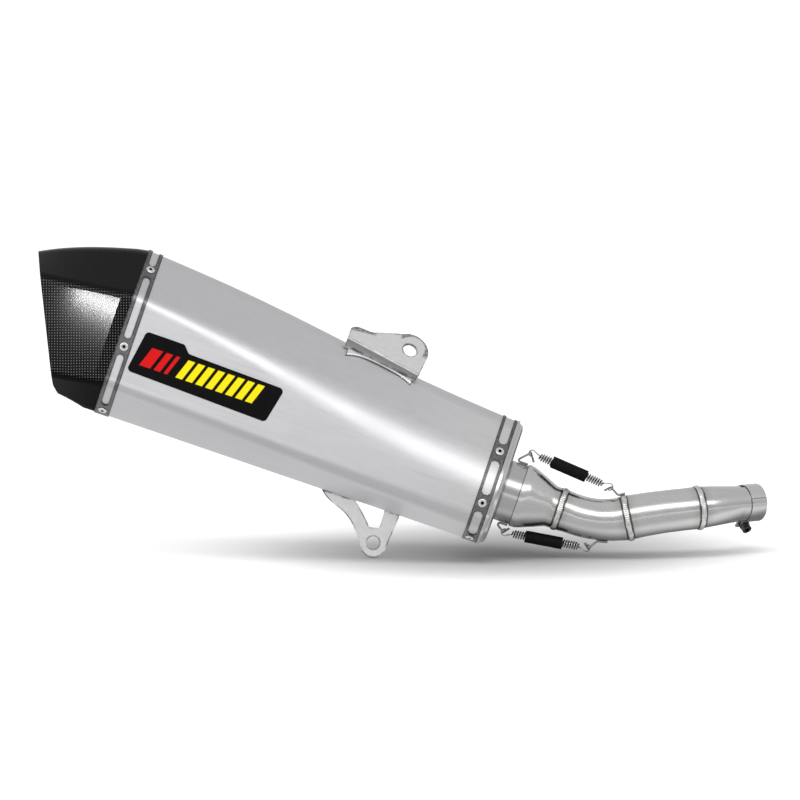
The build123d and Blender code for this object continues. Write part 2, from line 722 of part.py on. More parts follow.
def header_socket(frame):
    """The slotted socket that the header pipe goes into, open at the row's origin."""
    plane = frame_plane(frame)
    socket = tube(plane, 0, SOCKET_LENGTH, SOCKET_R, SOCKET_BORE_R)
    for angle in SLIT_ANGLES:
        turned = turned_plane(plane, angle)
        slit = turned * Pos(SOCKET_R, 0, SOCKET_LENGTH) * Box(10, SLIT_WIDTH, 2 * SLIT_LENGTH)
        round_end = Plane(
            origin=turned.origin + turned.z_dir * (SOCKET_LENGTH - SLIT_LENGTH),
            z_dir=turned.x_dir,
        )
        socket = socket - slit - rod(round_end, SOCKET_R / 2, SOCKET_R * 2, SLIT_END_R)
    return socket


def turned_plane(plane, angle):
    """The same plane with its x direction turned about its normal."""
    turn = math.radians(angle)
    across = plane.x_dir * math.cos(turn) + plane.y_dir * math.sin(turn)
    return Plane(origin=plane.origin, x_dir=across, z_dir=plane.z_dir)


def pipe_edge(frames, sizes, x, side):
    """Height of the pipe's top or bottom line at x."""
    line = []
    for frame, size in zip(frames, sizes):
        line.append(frame[0] + frame_plane(frame).y_dir * (size * side))
    for before, after in zip(line, line[1:]):
        if before.X <= x <= after.X:
            share = (x - before.X) / (after.X - before.X)
            return before.Z + (after.Z - before.Z) * share
    raise ValueError("x outside the pipe")


def wire_solid(points, bend, radius):
    """Round wire along straight runs joined by tangent arcs."""
    path = FilletPolyline(*points, radius=bend)
    start = Plane(origin=path @ 0, z_dir=path % 0)
    return sweep(start * Circle(radius), path)


def bail(weld, knee, tip, free):
    """A wire bail: a welded leg, a rise to the crossbar and a free end, from (x, z) points."""
    points = [
        (weld[0], -HOOK_HALF, weld[1]),
        (knee[0], -HOOK_HALF, knee[1]),
        (tip[0], -HOOK_HALF, tip[1]),
        (tip[0], HOOK_HALF, tip[1]),
        (free[0], HOOK_HALF, free[1]),
    ]
    return wire_solid(points, HOOK_BEND, HOOK_WIRE_R)


def spring(start, end, side):
    """A tension spring between two crossbars: a plain coil body with a hook at each end."""
    along = (end - start).normalized()
    length = (end - start).length
    turns = int((length - 2 * SPRING_LEG) / SPRING_WIRE)
    coil = turns * SPRING_WIRE
    first = (length - coil) / 2
    plane = Plane(origin=start + along * first, x_dir=side, z_dir=along)
    taper = SPRING_WIRE * 3
    neck = SPRING_WIRE
    profile = [
        Polyline((0, -neck), (neck, -neck), (SPRING_R, taper), (SPRING_R, coil - taper)),
        Polyline((SPRING_R, coil - taper), (neck, coil + neck), (0, coil + neck), (0, -neck)),
    ]
    face = Plane(origin=plane.origin, x_dir=side, z_dir=side.cross(along)) * make_face(profile)
    body = revolve(face, Axis(plane.origin, along), 360)
    for tip, inwards in ((start, along), (end, along * -1)):
        points = [
            tip + inwards * (first + 0.5),
            tip + inwards * SPRING_HOOK_R + side * SPRING_HOOK_R,
            tip - inwards * SPRING_HOOK_R + side * SPRING_HOOK_R,
            tip - inwards * SPRING_HOOK_R - side * SPRING_HOOK_R,
            tip + inwards * 1.0 - side * SPRING_HOOK_R,
        ]
        body += wire_solid(points, SPRING_HOOK_R - 0.3, SPRING_WIRE / 2)
    return body


def rubber_sleeve(start, end):
    """The rubber tube that quietens a spring, a little nearer the muffler than the middle."""
    along = (end - start).normalized()
    plane = Plane(origin=(start + end) * 0.5 - along * RUBBER_SHIFT, z_dir=along)
    sleeve = tube(plane, -RUBBER_LENGTH / 2, RUBBER_LENGTH / 2, RUBBER_R, RUBBER_BORE_R)
    return fillet(circles(sleeve, RUBBER_R - PLAY), 0.5)


# ---------------------------------------------------------------- header clamp
def clamp_plane():
    """The clamp's plane at the mouth: x out through the ears, y up, z out of the mouth."""
    end_pitch, end_yaw = TAPER_RUNS[-1][1:]
    plane = frame_plane((Vector(0, 0, 0), heading(end_pitch, end_yaw)))
    return turned_plane(plane, CLAMP_ANGLE)


def clamp_axis_plane(distance):
    """A plane across the clamp's bolt, facing the bolt's head, at a distance towards the head."""
    plane = clamp_plane()
    middle = plane.origin + plane.x_dir * BOLT_REACH - plane.z_dir * (CLAMP_WIDTH / 2 + CLAMP_INSET)
    return Plane(origin=middle - plane.y_dir * distance, x_dir=plane.x_dir, z_dir=-plane.y_dir)


def clamp_band():
    """The band with its two ears."""
    plane = clamp_plane()
    inner = SOCKET_R + PLAY / 2
    back = -CLAMP_WIDTH - CLAMP_INSET
    band = tube(plane, back, -CLAMP_INSET, inner + CLAMP_THICK, inner)
    band -= plane * Pos(SOCKET_R, 0, back + CLAMP_WIDTH / 2) * Box(12, CLAMP_GAP, CLAMP_WIDTH + 2)
    for side in (-1, 1):
        middle = side * (CLAMP_GAP + EAR_THICK) / 2
        reach = BOLT_REACH + EAR_MARGIN - inner
        ear = plane * Pos(inner + reach / 2 - EAR_SINK, middle, back + CLAMP_WIDTH / 2)
        band += ear * Box(reach + 2 * EAR_SINK, EAR_THICK, CLAMP_WIDTH - EAR_INSET)
    band -= rod(plane, back - 5, 5, inner)
    lap = turned_plane(plane, LAP_ANGLE) * Pos(inner + CLAMP_THICK, 0, back + CLAMP_WIDTH / 2)
    band -= lap * Box(2 * LAP_DEPTH, LAP_WIDTH, CLAMP_WIDTH + 2)
    return band - rod(clamp_axis_plane(0), -BOLT_REACH, BOLT_REACH, BOLT_R + BOLT_HOLE_PLAY)


def clamp_stack(gaps, *layers):
    """Distance from the bolt's middle to a face of the stack beyond one ear."""
    return CLAMP_GAP / 2 + EAR_THICK + gaps * STACK_GAP + sum(layers)


def clamp_bush():
    """The seat under the bolt's washer."""
    start = clamp_stack(1)
    seat = rod(clamp_axis_plane(start), 0, BUSH_THICK, BUSH_R)
    return seat - rod(clamp_axis_plane(start), -1, BUSH_THICK + 1, BOLT_R + BOLT_HOLE_PLAY)


def clamp_washer():
    """The washer between the seat and the bolt's head."""
    start = clamp_stack(2, BUSH_THICK)
    disc = rod(clamp_axis_plane(start), 0, WASHER_THICK, WASHER_R)
    return disc - rod(clamp_axis_plane(start), -1, WASHER_THICK + 1, BOLT_R + BOLT_HOLE_PLAY)


def clamp_bolt():
    """A socket-head bolt, its head pointing down."""
    start = clamp_stack(3, BUSH_THICK, WASHER_THICK)
    tail = clamp_stack(0, NUT_H, NUT_TRAVEL, BOLT_SPARE)
    shank = rod(clamp_axis_plane(-tail), 0, tail + start, BOLT_R)
    head = rod(clamp_axis_plane(start), 0, BOLT_HEAD_H, BOLT_HEAD_R)
    floor = clamp_axis_plane(start + BOLT_SOCKET_FLOOR)
    return shank + head - extrude(floor * RegularPolygon(BOLT_SOCKET_R, 6), BOLT_HEAD_H)


def clamp_nut():
    """The nut, which travels along the bolt as the bolt turns."""
    outline = RegularPolygon(NUT_R, 6) - Circle(BOLT_R + PLAY / 2)
    return extrude(clamp_axis_plane(-clamp_stack(1)) * outline, -NUT_H)


# ---------------------------------------------------------------- assembly
def muffler_place(frames):
    """Where the muffler's own frame lies, so that its inlet meets the link pipe's cone."""
    cone_end, along = frames[0]
    up = Vector(along.Z * -1, 0, along.X)
    u = COLLAR_MOUTH + CONE_GAP + CONE_PROFILE[-1][0]
    origin = cone_end - along * u - up * INLET_V
    return Location(tuple(origin), (0, TILT, 0))


def place_in(location, u, v):
    """A point of the muffler's middle plane in the row frame."""
    return Vector(*(location * Pos(u, 0, v)).position)


def build():
    """Every node of the exhaust, in the row frame."""
    frames = pipe_frames()
    elbow_end = sum(run_steps(ELBOW_RUNS))
    mid_end = elbow_end + sum(run_steps(MID_RUNS))
    elbow_frames = frames[: elbow_end + 1]
    mid_frames = frames[elbow_end: mid_end + 1]
    taper_frames = frames[mid_end:]
    muffler = muffler_place(frames)
    middle = Vector(0, muffler.position.Y, 0)

    in_muffler = {
        "outer_sleeve": outer_sleeve(),
        "rear_trim_band": trim_band(0, REAR_SLOTS, REAR_SLOT_WIDTH, REAR_RIVETS, True),
        "front_trim_band": trim_band(BODY_LENGTH, FRONT_SLOTS, FRONT_SLOT_WIDTH, FRONT_RIVETS, False),
        "rear_band_rivets": rivets(0, REAR_RIVETS),
        "front_band_rivets": rivets(BODY_LENGTH, FRONT_RIVETS),
        "carbon_end_cap": carbon_end_cap(),
        "rear_end_plate": rear_end_plate(),
        "outlet_tube": outlet_tube(),
        "noise_insert": noise_insert(),
        "insert_screw": insert_screw(),
        "front_cap": front_cap(),
        "inlet_collar": inlet_collar(),
        "front_baffle": front_baffle(),
        "core_bush": core_bush(),
        "perforated_core": perforated_core(),
        "absorption_wool": absorption_wool(),
        "badge_plate": badge_plate(),
        "upper_bracket": upper_bracket(),
        "upper_bracket_pad": upper_bracket_pad(),
        "lower_bracket": lower_bracket(),
        "muffler_hook_upper": bail(*UPPER_LEG, UPPER_TIP, UPPER_FREE),
        "muffler_hook_lower": bail(*LOWER_LEG, LOWER_TIP, LOWER_FREE),
        "link_spigot": link_spigot(),
        "link_cone": link_cone(),
    }
    nodes = {name: muffler * solid for name, solid in in_muffler.items()}

    nodes["link_elbow"] = pipe_between(elbow_frames, ELBOW_RADII)
    nodes["link_mid_pipe"] = pipe_between(mid_frames, MID_RADII)
    nodes["link_taper_pipe"] = pipe_between(taper_frames, TAPER_RADII)
    nodes["header_socket"] = header_socket(taper_frames[-1])
    nodes["weld_bead_cone"] = weld_bead(frames[0], ELBOW_RADII[0])
    nodes["weld_bead_elbow"] = weld_bead(frames[elbow_end], MID_RADII[0])
    nodes["weld_bead_mid"] = weld_bead(frames[mid_end], TAPER_RADII[0])

    sizes = eased_radii(len(elbow_frames), ELBOW_RADII)[:-1] + eased_radii(len(mid_frames), MID_RADII)
    lift = HOOK_WIRE_R + WELD_HEIGHT + HOOK_BEAD_LIFT
    drop = HOOK_WIRE_R + PLAY / 2
    top_weld = pipe_edge(frames, sizes, UPPER_WELD_X, 1) + lift
    top_knee = pipe_edge(frames, sizes, UPPER_KNEE_X, 1) + lift
    low_weld = pipe_edge(frames, sizes, LOWER_WELD_X, -1) - drop
    low_knee = pipe_edge(frames, sizes, LOWER_KNEE_X, -1) - drop
    upper_hook = bail((UPPER_WELD_X, top_weld), (UPPER_KNEE_X, top_knee), UPPER_PIPE_TIP, UPPER_PIPE_FREE)
    lower_hook = bail((LOWER_WELD_X, low_weld), (LOWER_KNEE_X, low_knee), LOWER_PIPE_TIP, LOWER_PIPE_FREE)
    nodes["pipe_hook_upper"] = Pos(*middle) * upper_hook
    nodes["pipe_hook_lower"] = Pos(*middle) * lower_hook

    pairs = {
        "upper": (UPPER_TIP, UPPER_PIPE_TIP, Vector(0, 0, 1)),
        "lower": (LOWER_TIP, LOWER_PIPE_TIP, Vector(0, 0, -1)),
    }
    for name, (tip, pipe_tip, hint) in pairs.items():
        start = place_in(muffler, *tip)
        end = Vector(pipe_tip[0], 0, pipe_tip[1]) + middle
        along = (end - start).normalized()
        side = (hint - along * hint.dot(along)).normalized()
        nodes["spring_" + name] = spring(start, end, side)
        nodes["spring_sleeve_" + name] = rubber_sleeve(start, end)

    nodes["clamp_band"] = clamp_band()
    nodes["clamp_bush"] = clamp_bush()
    nodes["clamp_washer"] = clamp_washer()
    nodes["clamp_bolt"] = clamp_bolt()
    nodes["clamp_nut"] = clamp_nut()
    return nodes


def main():
    os.makedirs("parts", exist_ok=True)
    for name, solid in build().items():
        solid.label = name
        export_step(solid, "parts/" + name + ".step")


main()
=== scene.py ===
import json
import math
import random

import bpy
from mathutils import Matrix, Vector


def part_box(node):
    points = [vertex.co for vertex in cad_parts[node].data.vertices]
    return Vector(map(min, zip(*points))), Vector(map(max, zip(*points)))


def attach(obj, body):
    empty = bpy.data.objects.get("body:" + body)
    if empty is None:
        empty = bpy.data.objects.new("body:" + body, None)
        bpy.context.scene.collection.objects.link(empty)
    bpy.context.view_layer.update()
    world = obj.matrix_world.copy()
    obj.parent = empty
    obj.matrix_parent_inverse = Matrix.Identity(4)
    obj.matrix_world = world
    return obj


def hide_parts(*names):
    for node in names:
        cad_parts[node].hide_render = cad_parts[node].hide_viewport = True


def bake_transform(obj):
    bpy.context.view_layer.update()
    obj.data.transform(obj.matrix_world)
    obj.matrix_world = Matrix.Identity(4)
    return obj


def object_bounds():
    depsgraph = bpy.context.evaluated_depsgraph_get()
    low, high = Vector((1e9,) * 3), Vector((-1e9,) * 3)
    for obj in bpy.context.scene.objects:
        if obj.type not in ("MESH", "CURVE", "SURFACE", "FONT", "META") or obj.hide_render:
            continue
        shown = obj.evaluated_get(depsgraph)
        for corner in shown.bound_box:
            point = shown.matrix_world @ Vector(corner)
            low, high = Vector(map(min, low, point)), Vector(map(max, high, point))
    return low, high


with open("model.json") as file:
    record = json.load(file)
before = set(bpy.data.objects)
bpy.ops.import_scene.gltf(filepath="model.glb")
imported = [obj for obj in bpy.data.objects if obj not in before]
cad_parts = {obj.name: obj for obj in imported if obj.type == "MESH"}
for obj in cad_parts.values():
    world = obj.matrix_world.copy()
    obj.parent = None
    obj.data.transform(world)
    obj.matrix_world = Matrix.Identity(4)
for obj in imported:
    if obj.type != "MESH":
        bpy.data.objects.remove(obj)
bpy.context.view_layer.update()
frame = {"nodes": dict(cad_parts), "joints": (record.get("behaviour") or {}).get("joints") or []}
nodes = frame["nodes"]
MM = 0.001

# ---- Wire and coil sizes, in metres
WIRE_R = 0.74 * MM
COIL_R = 3.85 * MM
COIL_END_R = 1.3 * MM
COIL_PITCH = 2.6 * MM
COIL_NARROWING_TURNS = 1.6
COIL_LEG = 9.0 * MM
HOOK_R = 3.5 * MM
HOOK_ARC = 250
HOOK_STEPS = 16
CROSSBAR_R = 1.15 * MM
TURN_STEPS = 18
WIRE_SIDES = 10

# ---- Rubber tubes on the springs
RUBBER_RINGS = 44
RUBBER_SIDES = 40
RUBBER_EASE = 0.3 * MM
RUBBER_ROUND = 0.5 * MM
RUBBER_SKIN = 0.12 * MM
RUBBER_WAVE = 0.07 * MM

# ---- Weld beads
BEADS = ("weld_bead_cone", "weld_bead_elbow", "weld_bead_mid")
BEAD_HALF = 3.0 * MM
BEAD_RISE = 0.8 * MM
BEAD_SINK = 0.3 * MM
BEAD_FOOT = 0.4 * MM
BEAD_RIPPLES = 62
RIPPLE_STEPS = 8
BEAD_STEPS = 8

# ---- Directions that the looks follow
slide = next(joint for joint in frame["joints"] if joint["name"] == "link_pipe_slide")
AXIS = Vector(slide["axis"]).normalized()
TILT = math.atan2(AXIS.z, AXIS.x)
UP = Vector((-AXIS.z, 0, AXIS.x))


# ---------------------------------------------------------------- measuring the frame
def points_of(name):
    """The vertices of a CAD node, in the row frame."""
    return [vertex.co.copy() for vertex in nodes[name].data.vertices]


def mean(points):
    return sum(points, Vector()) / len(points)


def crossbar(name):
    """The middle of a wire hook's crossbar."""
    low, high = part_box(name)
    middle = (low.y + high.y) / 2
    reach = (high.y - low.y) / 4
    return mean([point for point in points_of(name) if abs(point.y - middle) < reach])


def ring_of(name):
    """Centre, axis and outer radius of a ring-shaped node."""
    points = points_of(name)
    centre = mean(points)
    first = (points[0] - centre).normalized()
    across = max(points, key=lambda point: (point - centre).cross(first).length) - centre
    axis = first.cross(across).normalized()
    for _ in range(4):
        tilt = Vector()
        for point in points:
            arm = point - centre
            flat = arm - axis * arm.dot(axis)
            tilt += flat * (arm.dot(axis) / max(flat.length_squared, 1e-9))
        axis = (axis - tilt * (2 / len(points))).normalized()
    if axis.x < 0:
        axis = -axis
    radius = max((point - centre).cross(axis).length for point in points)
    return centre, axis, radius


# ---- Places that the looks follow. FOLD is a point of the upper bracket's fold, along the body and up
# from its middle line, and the fold's fall. Each crease of the cap's side facet has its height at the
# rear band, its rise towards the engine, and how much further the cloth runs beyond it.
INLET_V = -28.8 * MM
SPINE = mean(points_of("inlet_collar")).dot(UP) - INLET_V
REAR_BAND = min(point.dot(AXIS) for point in points_of("outer_sleeve")) + 8 * MM
FOLD = (218.9 * MM, 70.5 * MM, 13.5 / 83.5)
UPPER_CREASE = (42 * MM, 0.125, 0.61)
LOWER_CREASE = (-57 * MM, 0.14, 1.09)
TOW = 2.05 * MM

# The upper bracket's eye, from its box's front top corner, with the plate's lean as a stretch.
EYE_BACK = 19.1 * MM
EYE_DROP = 23.5 * MM
EYE_STRETCH = (1.045, 1.3)

# The badge's stripes: start and end along it from its middle, and colour.
RED = (0.62, 0.01, 0.01)
YELLOW = (0.85, 0.72, 0.01)
BADGE_STRIPES = (
    (-66 * MM, -54 * MM, RED),
    (-50 * MM, -43 * MM, RED),
    (-39 * MM, -35 * MM, RED),
    *((start * MM, (start + 7.5) * MM, YELLOW) for start in range(-26, 62, 11)),
)
STRIPE_SLANT = -0.35
STRIPE_BLUR = 0.1 * MM


# ---------------------------------------------------------------- materials
class Finish:
    """A node material: its Principled shader, and helpers that add pattern nodes."""

    def __init__(self, name, metallic=1.0):
        self.material = bpy.data.materials.new(name)
        self.material.use_nodes = True
        self.tree = self.material.node_tree
        self.shader = self.tree.nodes["Principled BSDF"]
        self.shader.inputs["Metallic"].default_value = metallic
        self.place = self.node("ShaderNodeTexCoord").outputs["Object"]
        self.aligned = self.node("ShaderNodeMapping", Vector=self.place, Rotation=(0, TILT, 0)).outputs[0]

    def feed(self, socket, value):
        if isinstance(value, bpy.types.NodeSocket):
            self.tree.links.new(value, socket)
        elif isinstance(value, (tuple, list)) and len(value) == 3 and socket.type == "RGBA":
            socket.default_value = (*value, 1)
        else:
            socket.default_value = value

    def node(self, kind, settings=(), **inputs):
        made = self.tree.nodes.new(kind)
        for key, value in dict(settings).items():
            setattr(made, key, value)
        for key, value in inputs.items():
            self.feed(made.inputs[key.replace("_", " ")], value)
        return made

    def set(self, **inputs):
        for key, value in inputs.items():
            self.feed(self.shader.inputs[key.replace("_", " ")], value)

    def math(self, operation, *values):
        made = self.tree.nodes.new("ShaderNodeMath")
        made.operation = operation
        for socket, value in zip(made.inputs, values):
            self.feed(socket, value)
        return made.outputs[0]

    def vector_math(self, operation, vector, other=None):
        made = self.node("ShaderNodeVectorMath", {"operation": operation})
        self.feed(made.inputs[0], vector)
        if other is not None:
            made.inputs[1].default_value = other
        return made

    def dot(self, vector, direction):
        return self.vector_math("DOT_PRODUCT", vector, direction).outputs["Value"]

    def noise(self, scale, detail=3.0, roughness=0.5, vector=None, offset=(0, 0, 0)):
        """Noise from 0 to 1, with its cells stretched by a scale for each direction, in cells per metre."""
        spread = (scale, scale, scale) if isinstance(scale, (int, float)) else scale
        source = vector or self.aligned
        mapped = self.node("ShaderNodeMapping", Vector=source, Scale=spread, Location=offset).outputs[0]
        made = self.node("ShaderNodeTexNoise", Vector=mapped, Scale=1.0, Detail=detail, Roughness=roughness)
        return made.outputs["Fac"]

    def between(self, value, low, high, start=0.0, end=1.0):
        """A smooth change from start to end as value goes from low to high."""
        made = self.node("ShaderNodeMapRange", {"interpolation_type": "SMOOTHSTEP"}, Value=value)
        made.inputs["From Min"].default_value = low
        made.inputs["From Max"].default_value = high
        made.inputs["To Min"].default_value = start
        made.inputs["To Max"].default_value = end
        return made.outputs["Result"]

    def mix(self, share, first, second, blend="MIX"):
        made = self.node("ShaderNodeMix", {"data_type": "RGBA", "blend_type": blend})
        colours = [socket for socket in made.inputs if socket.type == "RGBA"]
        self.feed(made.inputs["Factor"], share)
        self.feed(colours[0], first)
        self.feed(colours[1], second)
        return next(socket for socket in made.outputs if socket.type == "RGBA")

    def bump(self, height, depth, strength=1.0):
        """Surface relief of this depth, in metres."""
        made = self.node("ShaderNodeBump", Height=height, Distance=depth, Strength=strength)
        self.set(Normal=made.outputs[0])

    def openness(self, distance, inside=False):
        """1 in the open, falling towards 0 in holes and corners narrower than this distance."""
        made = self.node("ShaderNodeAmbientOcclusion", {"samples": 8, "inside": inside}, Distance=distance)
        return made.outputs["AO"]

    def edges(self, distance, thickness):
        """1 along the outer edges of a sheet, fading to 0 at about this distance from them: the mask of
        painted shade lines.
        """
        plain = min(1.0, (thickness / distance) ** 2)
        return self.between(self.openness(distance, inside=True), plain * 0.55, plain * 0.97, 1.0, 0.0)

    def corners(self, distance, deepest):
        """Painted shade: this much in the corners and holes narrower than a distance, and 0 in the open."""
        return self.between(self.openness(distance), 0.4, 0.88, deepest, 0.0)

    def add(self, first, second):
        return self.math("ADD", first, second)

    def less(self, first, second):
        return self.math("SUBTRACT", first, second)

    def times(self, first, second):
        return self.math("MULTIPLY", first, second)

    def split(self):
        """X, Y and Z of the place in the row frame."""
        return self.node("ShaderNodeSeparateXYZ", Vector=self.place).outputs

    def rise(self):
        """Height above the body's middle line."""
        return self.less(self.dot(self.place, UP), SPINE)

    def back(self):
        """Distance along the body from the middle of the rear band."""
        return self.less(self.dot(self.place, AXIS), REAR_BAND)


def brushed(name, colour, roughness, grain=(6, 900, 900), contrast=0.06, depth=0.03 * MM, smears=0.05):
    """Brushed or satin metal: streaks along the grain, soft smears, and fine relief."""
    finish = Finish(name)
    streaks = finish.noise(grain, detail=4, roughness=0.6)
    fine = finish.noise(tuple(value * 3.7 for value in grain), detail=2, offset=(3, 5, 7))
    cloud = finish.noise(16, detail=3, offset=(1, 2, 3))
    mixed = finish.add(finish.times(streaks, 0.65), finish.times(fine, 0.35))
    dark = tuple(value * (1 - contrast) for value in colour)
    light = tuple(min(1, value * (1 + contrast)) for value in colour)
    tone = finish.mix(finish.between(mixed, 0.3, 0.7), dark, light)
    tone = finish.mix(finish.times(finish.between(cloud, 0.35, 0.75), smears), tone, (0.34, 0.335, 0.33))
    rough = finish.add(finish.between(mixed, 0.3, 0.7, roughness - 0.04, roughness + 0.05),
                       finish.between(cloud, 0.3, 0.7, -0.02, 0.03))
    finish.set(Base_Color=tone, Roughness=rough)
    finish.bump(mixed, depth)
    finish.tone = tone
    finish.rough = rough
    return finish


def sleeve_finish():
    """Satin titanium sheet, with grain along the body and a faint tint at its hot front end."""
    finish = brushed("titanium_sleeve", (0.66, 0.66, 0.675), 0.4, (3, 500, 500), 0.035, 0.012 * MM, 0.03)
    low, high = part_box("outer_sleeve")
    along = finish.dot(finish.place, AXIS)
    front = max(point.dot(AXIS) for point in points_of("outer_sleeve"))
    warmth = finish.between(along, front - 60 * MM, front, 0.0, 0.10)
    finish.set(Base_Color=finish.mix(warmth, finish.tone, (0.62, 0.54, 0.42)))
    return finish.material


def pipe_finish(name, colour, roughness):
    """Stainless tube, a little greyer beside each weld, with a painted shade line at each weld's toe and
    painted shade in its corners.
    """
    finish = brushed(name, colour, roughness, (8, 700, 700), 0.03, 0.006 * MM, 0.05)
    tone = finish.tone
    for bead in BEADS:
        centre, axis, _ = ring_of(bead)
        away = finish.math("ABSOLUTE", finish.less(finish.dot(finish.place, axis), centre.dot(axis)))
        wander = finish.times(finish.noise(160, vector=finish.place), 1.2 * MM)
        away = finish.add(away, finish.less(wander, 0.6 * MM))
        tint = finish.between(away, 4 * MM, 14 * MM, 0.45, 0.0)
        tone = finish.mix(tint, tone, (0.43, 0.42, 0.41))
        # Painted shade: a thin dark line at the bead's toe.
        line = finish.between(away, 3.6 * MM, 5.2 * MM, 0.9, 0.0)
        tone = finish.mix(line, tone, (0.05, 0.048, 0.048))
    # Painted shade in the tube's corners and holes.
    tone = finish.mix(finish.corners(4 * MM, 0.9), tone, (0.03, 0.03, 0.03))
    finish.set(Base_Color=tone)
    return finish.material


def weld_finish():
    """Bright weld metal, mottled with greys."""
    finish = Finish("weld_metal")
    colours = finish.noise(260, detail=2, vector=finish.place)
    tone = finish.mix(finish.between(colours, 0.35, 0.65), (0.82, 0.815, 0.81), (0.62, 0.61, 0.6))
    flecks = finish.between(finish.noise(420, offset=(4, 1, 6)), 0.55, 0.75, 0, 0.3)
    tone = finish.mix(flecks, tone, (0.4, 0.4, 0.43))
    finish.set(Base_Color=tone, Roughness=finish.between(colours, 0.3, 0.7, 0.2, 0.38))
    finish.bump(finish.noise(1500, detail=3), 0.05 * MM)
    return finish.material


def carbon_finish():
    """Plain-weave carbon under clear lacquer, laid on the diagonal.

    Warp tows show as light crowns between dark weft tows: the weave, with its sheen painted in. The crowns
    and the gloss fade on the facets that face up or down, as painted shade.
    """
    finish = Finish("carbon_weave", metallic=0.0)
    spot = finish.split()
    rise = finish.rise()
    back = finish.back()
    beyond = []
    for side, (height, slope, more) in (("MAXIMUM", UPPER_CREASE), ("MINIMUM", LOWER_CREASE)):
        crease = finish.add(finish.times(back, slope), height)
        beyond.append(finish.times(finish.math(side, finish.less(rise, crease), 0.0), more))
    round_way = finish.add(spot["Z"], finish.add(*beyond))
    across = TOW * math.sqrt(2)
    warp = finish.math("DIVIDE", finish.add(spot["X"], round_way), across)
    weft = finish.math("DIVIDE", finish.less(spot["X"], round_way), across)
    wander = finish.noise(60, detail=1, vector=finish.place)
    warp = finish.add(warp, finish.times(wander, 0.5))
    weft = finish.add(weft, finish.times(wander, -0.4))
    cells = finish.add(finish.math("FLOOR", warp), finish.math("FLOOR", weft))
    parity = finish.math("FLOORED_MODULO", cells, 2.0)
    over_warp = finish.math("GREATER_THAN", parity, 0.5)
    in_warp = finish.math("FRACT", warp)
    in_weft = finish.math("FRACT", weft)
    dome_warp = finish.math("SINE", finish.times(in_warp, math.pi))
    dome_weft = finish.math("SINE", finish.times(in_weft, math.pi))
    crown = finish.times(dome_warp, dome_weft)
    fibres_along = finish.noise((300, 300, 6000), detail=1, vector=finish.place)
    fibres_across = finish.noise((6000, 300, 300), detail=1, vector=finish.place)
    fibres = finish.mix(over_warp, fibres_across, fibres_along)
    normal = finish.node("ShaderNodeTexCoord").outputs["Normal"]
    facing = finish.node("ShaderNodeSeparateXYZ", Vector=normal).outputs["Z"]
    # Painted shade: the crowns dim and the lacquer's gloss fades on facets that face up or down.
    sideways = finish.between(finish.math("ABSOLUTE", facing), 0.2, 0.6, 1.0, 0.06)
    gloss = finish.between(facing, -0.5, -0.2, 0.08, 1.0)
    lit = finish.times(finish.times(finish.between(crown, 0.6, 1.0), over_warp), sideways)
    lit = finish.times(lit, finish.between(fibres, 0.2, 0.8, 0.65, 1.0))
    dim = finish.times(finish.between(crown, 0.4, 1.0), finish.less(1.0, over_warp))
    tone = finish.mix(lit, (0.003, 0.003, 0.0033), (0.3, 0.3, 0.305))
    tone = finish.mix(finish.times(dim, 0.4), tone, (0.005, 0.005, 0.0055))
    finish.set(Base_Color=tone, Roughness=finish.between(lit, 0, 1, 0.6, 0.4))
    finish.set(Coat_Weight=gloss, Coat_Roughness=0.06, Coat_IOR=1.2, Specular_IOR_Level=0.02)
    finish.bump(finish.add(finish.times(crown, 0.8), finish.times(fibres, 0.2)), 0.06 * MM)
    return finish.material


def rubber_finish():
    """Matt black rubber with a fine grain and dusty smears."""
    finish = Finish("black_rubber", metallic=0.0)
    dust = finish.noise(90, detail=4, vector=finish.place)
    grain = finish.noise(2600, detail=3, vector=finish.place)
    smears = finish.between(dust, 0.5, 0.8, 0, 0.25)
    tone = finish.mix(smears, (0.003, 0.003, 0.003), (0.016, 0.016, 0.015))
    rough = finish.between(dust, 0.3, 0.7, 0.5, 0.7)
    finish.set(Base_Color=tone, Roughness=rough, Specular_IOR_Level=0.12)
    finish.bump(grain, 0.04 * MM)
    return finish.material


def badge_finish():
    """A black label with plain slanted stripes of red and yellow."""
    finish = Finish("badge_enamel", metallic=0.0)
    low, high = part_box("badge_plate")
    centre = (low + high) / 2
    along = finish.less(finish.dot(finish.place, AXIS), centre.dot(AXIS))
    up = finish.less(finish.dot(finish.place, UP), centre.dot(UP))
    slanted = finish.add(along, finish.times(up, STRIPE_SLANT))
    inside = finish.between(finish.math("ABSOLUTE", up), 10.5 * MM, 10.9 * MM, 1, 0)
    tone = (0.004, 0.004, 0.0045)
    for start, end, colour in BADGE_STRIPES:
        away = finish.math("ABSOLUTE", finish.less(slanted, (start + end) / 2))
        edge = (end - start) / 2
        stripe = finish.between(away, edge - STRIPE_BLUR, edge + STRIPE_BLUR, 1, 0)
        tone = finish.mix(finish.times(stripe, inside), tone, colour)
    speckle = finish.noise(900, detail=3)
    tone = finish.mix(finish.between(speckle, 0.5, 0.85, 0, 0.02), tone, (0.5, 0.5, 0.5))
    finish.set(Base_Color=tone, Roughness=finish.between(speckle, 0.3, 0.7, 0.3, 0.4))
    finish.set(Coat_Weight=0.3, Coat_Roughness=0.15, Coat_IOR=1.2, Specular_IOR_Level=0.03)
    finish.bump(speckle, 0.01 * MM)
    return finish.material


def band_finish():
    """Dark satin steel with painted shade in thin dark lines round its cut edges."""
    finish = brushed("dark_band_steel", (0.21, 0.21, 0.215), 0.34, (300, 300, 300), 0.14, 0.03 * MM, 0.1)
    broken = finish.between(finish.noise(260, detail=3), 0.3, 0.6, 0.35, 0.95)
    line = finish.times(finish.edges(2 * MM, 1 * MM), broken)
    finish.set(Base_Color=finish.mix(line, finish.tone, (0.025, 0.025, 0.027)))
    return finish.material


